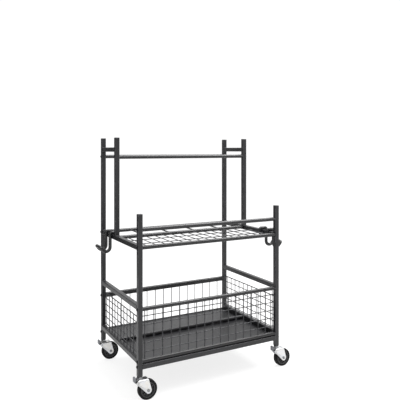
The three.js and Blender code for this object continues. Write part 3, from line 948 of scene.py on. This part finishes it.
wheel_radius = 38
trail = 31
fork_gap = 26
fork_end_radius = 12
fork_end_arc = (225, 374.4)
fork_end_steps = 16
fork_nose = 20
fork_nose_drop = 9
crown_nose = 15.5
crown_chamfer = 6.5
crown_round = crown_chamfer + 1
crown_arc = (110, 250)
crown_arc_steps = 10
bend_outer = 4
bend_outer_steps = 5
bend_inner = 1.6
bend_inner_steps = 4
sheet_edge = 0.45
edge_turn = math.radians(40)
weld_distance = 0.01
king_hole = 4.8
pin_hole = 2.8
pedal_pivot_ahead = 9
pedal_pivot_rise = 33
overrun = 5


def arc(centre, radius, start, end, count):
    """Points of an arc, with its angles in degrees."""
    angles = [math.radians(start + (end - start) * i / count) for i in range(count + 1)]
    return [Vector((centre[0] + radius * math.cos(a), centre[1] + radius * math.sin(a))) for a in angles]


def prism(axis, low_place, high_place, outline):
    """A working solid: an outline raised along an axis."""
    build = bmesh.new()
    skin(build, [ring(axis, place, Vector(), outline) for place in (low_place, high_place)])
    bmesh.ops.recalc_face_normals(build, faces=build.faces)
    return to_object("working_solid", build)


def settle(solid):
    """Makes the modifiers of a working solid final."""
    ready = solid.evaluated_get(bpy.context.evaluated_depsgraph_get())
    mesh = bpy.data.meshes.new_from_object(ready)
    solid.modifiers.clear()
    solid.data = mesh


def combine(solid, other, operation):
    """Joins, cuts or crosses one working solid with another, which is used up."""
    change = solid.modifiers.new("combine", "BOOLEAN")
    change.operation = operation
    change.solver = "EXACT"
    change.object = other
    settle(solid)
    bpy.data.objects.remove(other)


half_inner = fork_gap / 2
half_outer = half_inner + fork_sheet
leg_end = wheel_radius - fork_end_radius - overrun
outer_x, outer_z = half_outer - bend_outer, crown_top - bend_outer
inner_x, inner_z = half_inner - bend_inner, crown_under - bend_inner
channel = [
    (-half_outer, leg_end),
    *arc((-outer_x, outer_z), bend_outer, 180, 90, bend_outer_steps),
    *arc((outer_x, outer_z), bend_outer, 90, 0, bend_outer_steps),
    (half_outer, leg_end), (half_inner, leg_end),
    *arc((inner_x, inner_z), bend_inner, 0, 90, bend_inner_steps),
    *arc((-inner_x, inner_z), bend_inner, 90, 180, bend_inner_steps),
    (-half_inner, leg_end),
]
nose_x = crown_chamfer - crown_nose
leg_outline = [
    (trail, crown_top + overrun), (nose_x, crown_top + overrun),
    (nose_x, crown_top), (-fork_nose, crown_top - fork_nose_drop),
    *arc((trail, wheel_radius), fork_end_radius, *fork_end_arc, fork_end_steps), (trail, crown_top),
]
crown_outline = [
    (trail - overrun, half_inner), (nose_x, half_inner),
    *arc((crown_round - crown_nose, 0), crown_round, *crown_arc, crown_arc_steps),
    (nose_x, -half_inner), (trail - overrun, -half_inner),
]
pivot = Vector((-pedal_pivot_ahead, 0, wheel_radius + pedal_pivot_rise))
pin_outline = [pivot.xz + point for point in circle(pin_hole, turned_steps)]
across_fork = (1, -half_outer - overrun, half_outer + overrun)
fork = prism(0, -fork_nose - overrun, trail + fork_end_radius + overrun, channel)
combine(fork, prism(*across_fork, leg_outline), "INTERSECT")
combine(fork, prism(2, crown_under, crown_top, crown_outline), "UNION")
king_outline = circle(king_hole, turned_steps)
combine(fork, prism(2, crown_under - overrun, crown_top + overrun, king_outline), "DIFFERENCE")
combine(fork, prism(*across_fork, pin_outline), "DIFFERENCE")
rounding = fork.modifiers.new("rounding", "BEVEL")
rounding.width = sheet_edge
rounding.segments = 2
rounding.limit_method = "ANGLE"
rounding.angle_limit = edge_turn
settle(fork)
build = bmesh.new()
build.from_mesh(fork.data)
bmesh.ops.remove_doubles(build, verts=build.verts, dist=weld_distance)
bpy.data.objects.remove(fork)
on_each_caster("fork", build, zinc)


# Wheels
# A centre of black polypropylene with thin ribs round its hub, and a tread of hard black rubber
# moulded on. The tread is smooth, with round shoulders, and greys a little with dust.

hub_bore = 4.3
hub_radius = 10.5
hub_width = 25.4
hub_edge = 0.8
hub_taper = 0.6
web_width = 8
rim_width = 19
rim_inner = 25.5
rim_outer = 29.2
rim_fillet = 0.8
rim_edge = 0.6
rim_edge_drop = 0.5
tyre_width = 23
tyre_wall_steps = ((0, 1.6), (1.4, 0.3), (2.6, 0))
shoulder = 4.5
shoulder_steps = 6
shoulder_run = 1
tread_crown = 0.1
rib_count = 10
rib_thickness = 1.6
rib_inset = 1
rib_edge = 0.4
wheel_steps = 64


def mirrored(half):
    """A whole profile, from its outer end on one side to its outer end on the other."""
    return [(radius, -place, *corners) for radius, place, *corners in half] + half[::-1]


def spun(build, centre, half):
    """A wheel's section, spun about an axis along Y. Half of it is given."""
    skin(build, [ring(1, centre.y + side, centre, circle(radius, wheel_steps))
                 for radius, side in reversed(mirrored(half))], loop=True)


def tread_rubber(name):
    """Hard black rubber: matt, with a fine moulding grain and a little pale dust on the tread.
    The grain of 0.2 mm is drawn 1.2 mm wide so that it shows."""
    dust_size = 11
    grain_size = 1.2
    grain_depth = 0.06
    material, tree, place = start_material(name)
    dust = add(tree, "TexNoise", {"Vector": place, "Scale": 1 / dust_size, "Detail": 5.0})
    grain = add(tree, "TexNoise", {"Vector": place, "Scale": 1 / grain_size, "Detail": 2.0})
    film = add(tree, "MapRange", {"Value": dust, "From Min": 0.45, "From Max": 0.75, "To Max": 0.6})
    colour = add(tree, "Mix", {0: film, 6: "#060607", 7: "#151516"}, data_type="RGBA")
    rough = add(tree, "MapRange", {"Value": dust, "To Min": 0.5, "To Max": 0.8})
    bump = add(tree, "Bump", {"Height": grain, "Distance": grain_depth * mm, "Strength": 0.7})
    end_material(tree, {"Base Color": colour, "Roughness": rough, "IOR": 1.52,
                        "Specular IOR Level": 0.16, "Normal": bump})
    return material


axle = Vector((trail, 0, wheel_radius))
half_tyre = tyre_width / 2
tyre_half = [(rim_outer + rise, half_tyre - drop) for rise, drop in tyre_wall_steps]
tyre_half += arc((wheel_radius - shoulder, half_tyre - shoulder), shoulder, 90, 0, shoulder_steps)[:-1]
tyre_half += [
    (wheel_radius - tread_crown, half_tyre - shoulder - shoulder_run), (wheel_radius, half_tyre / 4)]
build = bmesh.new()
spun(build, axle, tyre_half)
on_each_caster("wheel", build, tread_rubber("black_tread_rubber"), "tread")

# Black polypropylene with a soft sheen
wheel_plastic = moulded_plastic("black_polypropylene", "#161618", "#262628", 0.38, 0.52)
half_hub, half_web, half_rim = hub_width / 2, web_width / 2, rim_width / 2
core_half = [
    (hub_bore, half_hub), (hub_radius - hub_edge, half_hub), (hub_radius, half_hub - hub_edge),
    (hub_radius + hub_taper, half_web), (rim_inner - rim_fillet, half_web),
    (rim_inner, half_rim - rim_edge_drop), (rim_inner + rim_edge, half_rim), (rim_outer, half_rim),
]
build = bmesh.new()
spun(build, axle, core_half)
rib_start, rib_end = hub_radius - rib_inset, rim_inner + rib_inset
half_rib = rib_thickness / 2
rib_layers = [
    (-half_rib, rib_edge), (rib_edge - half_rib, 0), (half_rib - rib_edge, 0), (half_rib, rib_edge)]
for angle in full_turn(rib_count):
    turn = Matrix.Translation(axle) @ Matrix.Rotation(angle, 4, "Y")
    rings = []
    for z, inset in rib_layers:
        side = half_rim - rib_inset - inset
        corners = [(rib_start, -side), (rib_end, -side), (rib_end, side), (rib_start, side)]
        rings.append([turn @ Vector((x, y, z)) for x, y in corners])
    skin(build, rings)
on_each_caster("wheel", build, wheel_plastic, "centre", replaces_node=False)


# Axle bolts
# A zinc-plated bolt with a washer under its hexagon head, and a lock nut on the far side. Both
# ends look alike from outside the fork.

axle_radius = 4
axle_head = 5.6
axle_head_height = 4
axle_flat = 0.3
axle_dome = 1.2
washer_wide = 6.2
washer_thin = 1.0
axle_chamfer = 0.7

head_top = half_outer + axle_head_height
washer_top = half_outer + washer_thin
half_bolt = [
    (axle_head - 2 * axle_chamfer, head_top), (axle_head - axle_dome, head_top - axle_chamfer / 2),
    (axle_head - axle_flat, head_top - axle_chamfer, hexagon), (axle_head - axle_flat, washer_top, hexagon),
    (washer_wide, washer_top), (washer_wide, half_outer), (axle_radius, half_outer),
]
build = bmesh.new()
turned(build, 1, axle, mirrored(half_bolt))

# Thinner zinc on the bolt stock has gone a dull grey
dull_zinc = zinc_plate("dulled_zinc_plate", "#b2b4b8", "#b6b4af", "#85878a", 0.4, 0.6)
on_each_caster("axle", build, dull_zinc)


# Brake pedals
# A lever of zinc-plated strip that turns on a pin between the fork's legs. A sleeve of grey
# nylon with grip ridges is pushed on its foot end, and its shoe presses on the tread.

pedal_width = 17
pin_radius = 2.5
pin_stub = 1
pin_edge = 0.6
hub_round = 4.2
shoe_radius = 4
shoe_edge = 0.5
shoe_reach = 3
shoe_drop = 9
strip = 2.6
strip_width = 15
strip_edge = 0.5
lever_bend = 4
shoe_bend = 20
pedal_nose = 25.5
pad_length = 8.5
pad_height = 19
pad_top = 93.2
pad_wall = 0.3
pad_steps = 28
pad_squareness = 0.45
pad_end_run = 3
pad_end_share = 0.3
ridge_count = 4
ridge_height = 0.35
ridge_side = 0.3

half_pedal = pedal_width / 2
pin_half = half_outer + pin_stub
build = bmesh.new()
turned(build, 1, pivot, mirrored([
    (pin_radius - pin_edge, pin_half), (pin_radius, pin_half - pin_edge), (pin_radius, half_pedal),
    (hub_round, half_pedal)]))
shoe = pivot + Vector((shoe_reach, 0, -shoe_drop))
turned(build, 1, shoe, mirrored([
    (shoe_radius - shoe_edge, half_pedal), (shoe_radius, half_pedal - shoe_edge)]))


def strip_along(build, points, radius):
    """A flat strip of the lever's thickness that follows a bent path in the XZ plane."""
    path = bent(points, [radius])
    half_w, half_t = strip_width / 2, strip / 2
    flat_w, flat_t = half_w - strip_edge, half_t - strip_edge
    outline = [(half_w, flat_t), (flat_w, half_t), (-flat_w, half_t), (-half_w, flat_t),
               (-half_w, -flat_t), (-flat_w, -half_t), (flat_w, -half_t), (half_w, -flat_t)]
    across = Vector((0, 1, 0))
    rings = []
    for i, point in enumerate(path):
        along = (path[min(i + 1, len(path) - 1)] - path[max(i - 1, 0)]).normalized()
        normal = along.cross(across)
        rings.append([point + across * u + normal * v for u, v in outline])
    skin(build, rings)


pad_z = pad_top - pad_height / 2
upright_x = pad_length / 2 - pedal_nose + pad_wall
strip_along(build, [pivot, Vector((upright_x, 0, pivot.z)), Vector((upright_x, 0, pad_z))], lever_bend)
strip_along(build, [pivot, pivot.lerp(shoe, 0.5), shoe], shoe_bend)
on_each_caster("brake_pedal", build, zinc, "lever")

# Grey nylon, moulded with a fine grain
pedal_nylon = moulded_plastic("grey_nylon", "#5e5f63", "#717277", 0.38, 0.55)
pad_middle = Vector((pad_length / 2 - pedal_nose, 0, pad_z))
pad_rings = []
for step in range(pad_steps + 1):
    share = step / pad_steps
    nearness = min(1, min(share, 1 - share) * pedal_width / pad_end_run)
    shrink = math.sqrt(max(0.0, 1 - (1 - nearness) ** 2)) * pad_end_share + 1 - pad_end_share
    ridge = ridge_height * abs(math.sin(math.pi * ridge_count * share))
    outline = []
    for angle in full_turn(turned_steps):
        cos, sin = math.cos(angle), math.sin(angle)
        u = math.copysign(abs(cos) ** pad_squareness, cos) * (pad_length / 2 - ridge_height) * shrink
        v = math.copysign(abs(sin) ** pad_squareness, sin) * (pad_height / 2 - ridge_height) * shrink
        outline.append(Vector((u, v + (ridge if sin > ridge_side else 0))))
    pad_rings.append(ring(1, (share - 0.5) * pedal_width, pad_middle, outline))
build = bmesh.new()
skin(build, pad_rings)
on_each_caster("brake_pedal", build, pedal_nylon, "pad", replaces_node=False)


# Studio
# A pale floor, lit from below, that runs out to a pale surround. A long soft box hangs high on
# the right and soft window light comes from the front left. The camera has the photograph's angle.
# Places and sizes are in metres here.

floor_half = 14.0
floor_grid = 8
floor_glow = 0.8
flag_foot = ((-0.55, 1.65), (-3.0, 0.75))
flag_height = 2.4
sweep_direction = (0.48, 0.877, 0)
sweep_strength = 1.05
room_strength = 0.62
soft_box_size = (2.2, 3.2)
soft_box_place = (1.2, -0.2, 3.1)
soft_box_tilt = math.radians(25)
soft_box_watts = 180
window_strength = 1.2
window_softness = math.radians(60)
window_direction = Vector((0.5, 0.5, -1))
camera_place = (-1.0546, -2.0328, 0.950)
camera_turn = math.radians(28.7)
camera_lens = 46.26
camera_shift = -0.126

bpy.context.scene.view_settings.view_transform = "Standard"


def pale_floor(name):
    """Matt white acrylic with a faint mottling, lit from below so that shadows on it stay pale."""
    mottle_size = 600
    material, tree, place = start_material(name)
    mottle = add(tree, "TexNoise", {"Vector": place, "Scale": 1 / mottle_size, "Detail": 2.0})
    colour = add(tree, "Mix", {0: mottle, 6: "#7a7a7a", 7: "#7e7e7e"}, data_type="RGBA")
    end_material(tree, {"Base Color": colour, "Roughness": 0.9, "Emission Color": "#ffffff",
                        "Emission Strength": floor_glow})
    return material


def studio_object(name, data, turn, place=(0, 0, 0)):
    """Puts a light or the camera into the scene."""
    made = bpy.data.objects.new(name, data)
    made.location = place
    made.rotation_euler = turn
    bpy.context.scene.collection.objects.link(made)
    return made


build = bmesh.new()
bmesh.ops.create_grid(build, x_segments=floor_grid, y_segments=floor_grid, size=floor_half)
floor = to_object("studio_floor", build, pale_floor("lit_matt_acrylic"))
floor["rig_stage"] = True

# A dark flag at the left rear, which only the paint's reflections see
cloth, tree, _ = start_material("black_studio_cloth")
end_material(tree, {"Base Color": "#2a2a2a", "Roughness": 1.0})
build = bmesh.new()
heights = (0.0, 0.0, flag_height, flag_height)
build.faces.new([build.verts.new((x, y, z)) for (x, y), z in zip(flag_foot + flag_foot[::-1], heights)])
flag = to_object("studio_flag", build, cloth)
flag.visible_camera = False
flag.visible_diffuse = False
flag.visible_shadow = False
flag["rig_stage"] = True

# The sweep of white paper behind the rack is lit, and the room in front of it is dimmer
world = bpy.data.worlds.new("pale_surround")
world.use_nodes = True
tree = world.node_tree
tree.nodes.clear()
direction = add(tree, "TexCoord", {}).outputs["Generated"]
towards = add(tree, "VectorMath", {0: direction, 1: sweep_direction}, operation="DOT_PRODUCT")
glow = add(tree, "MapRange", {
    "Value": towards.outputs["Value"], "From Min": -0.6, "From Max": 0.3,
    "To Min": room_strength, "To Max": sweep_strength})
surround = add(tree, "Background", {"Color": "#ffffff", "Strength": glow})
add(tree, "OutputWorld", {"Surface": surround})
bpy.context.scene.world = world

# The soft box stands where rails along X catch it on their upper half
lamp = bpy.data.lights.new("overhead_light", "AREA")
lamp.shape = "RECTANGLE"
lamp.size, lamp.size_y = soft_box_size
lamp.energy = soft_box_watts
studio_object("overhead_light", lamp, (0, soft_box_tilt, 0), soft_box_place)

sun = bpy.data.lights.new("window_light", "SUN")
sun.energy = window_strength
sun.angle = window_softness
studio_object("window_light", sun, window_direction.to_track_quat("-Z", "Y").to_euler())

lens = bpy.data.cameras.new("photo_camera")
lens.lens = camera_lens
lens.shift_y = camera_shift
camera_level = math.radians(90)
camera = studio_object("photo_camera", lens, (camera_level, 0, -camera_turn), camera_place)
bpy.context.scene.camera = camera

low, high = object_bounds()
